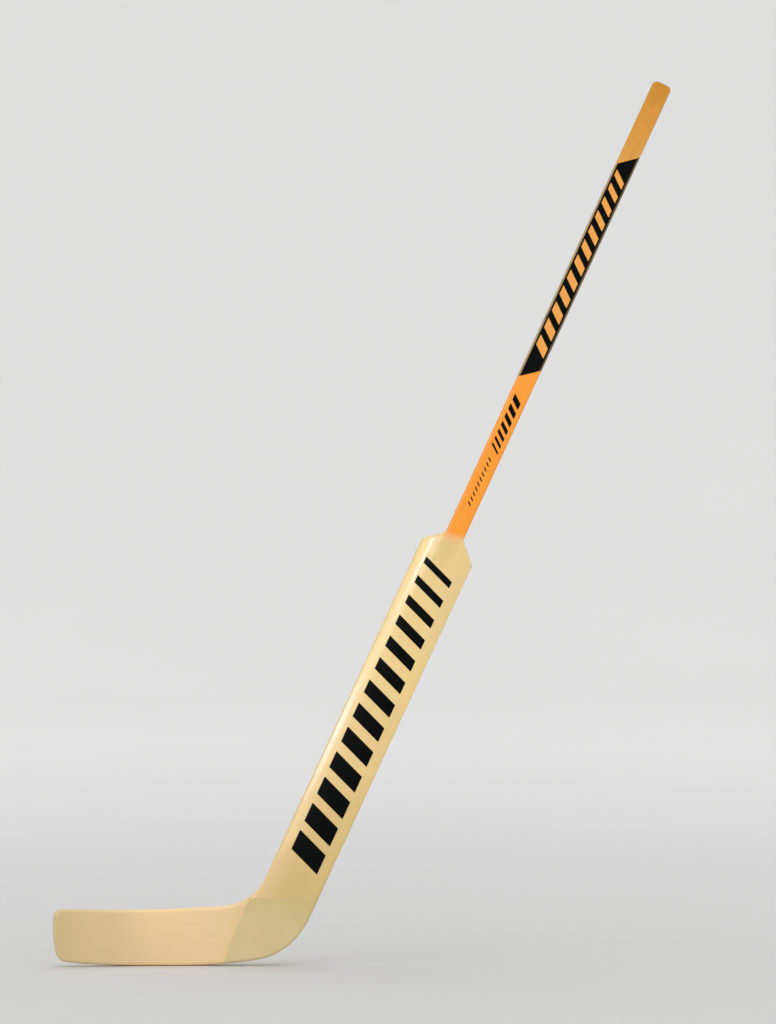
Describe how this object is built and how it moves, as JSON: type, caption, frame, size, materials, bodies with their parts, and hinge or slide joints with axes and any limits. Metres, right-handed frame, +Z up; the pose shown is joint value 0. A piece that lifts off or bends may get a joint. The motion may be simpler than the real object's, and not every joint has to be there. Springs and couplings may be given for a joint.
{
  "type": "hockey goalie stick",
  "caption": "Goalkeeper's ice-hockey stick: painted straight shaft, wide pale paddle with sloped shoulders, rounded heel and a gently curved blade, laminated from wood, foam and glass cloth.",
  "frame": {"origin": "middle of the flat of the blade's sole, on the ice", "axes": "+X from the toe towards the heel, +Z up from the ice, the blade's hollow face towards -Y; the shaft leans 24.8 degrees from +Z towards +X"},
  "size_m": [0.9594, 0.037, 1.3749],
  "materials": {
    "hardwood": "sawn",
    "light_wood": "sawn",
    "plywood": "sawn",
    "edge_wood": "clear coated",
    "foam": "rigid foam, cut",
    "glass_laminate": "clear coated glass cloth",
    "heel_cloth": "clear coated glass cloth",
    "shaft_paint": "gloss paint on glass cloth, fading to amber at the butt"
  },
  "bodies": {
    "root": {"shaft_center_ply": "hardwood", "shaft_inner_ply_front": "light_wood", "shaft_inner_ply_back": "light_wood", "shaft_face_ply_front": "hardwood", "shaft_face_ply_back": "hardwood", "shaft_sleeve": "shaft_paint", "paddle_foam_toe_side": "foam", "paddle_foam_heel_side": "foam", "paddle_rail_toe_side": "edge_wood", "paddle_rail_heel_side": "edge_wood", "shoulder_rail_toe_side": "edge_wood", "shoulder_rail_heel_side": "edge_wood", "paddle_skin_front": "glass_laminate", "paddle_skin_back": "glass_laminate", "heel_block_toe_side": "hardwood", "heel_block_heel_side": "hardwood", "heel_spline": "plywood", "heel_strip_inner": "edge_wood", "heel_strip_outer": "edge_wood", "heel_patch_front": "heel_cloth", "heel_patch_back": "heel_cloth", "blade_foam_core": "foam", "blade_top_strip": "edge_wood", "blade_toe_strip": "edge_wood", "blade_sole_strip": "edge_wood", "blade_skin_front": "glass_laminate", "blade_skin_back": "glass_laminate"}
  },
  "joints": []
}
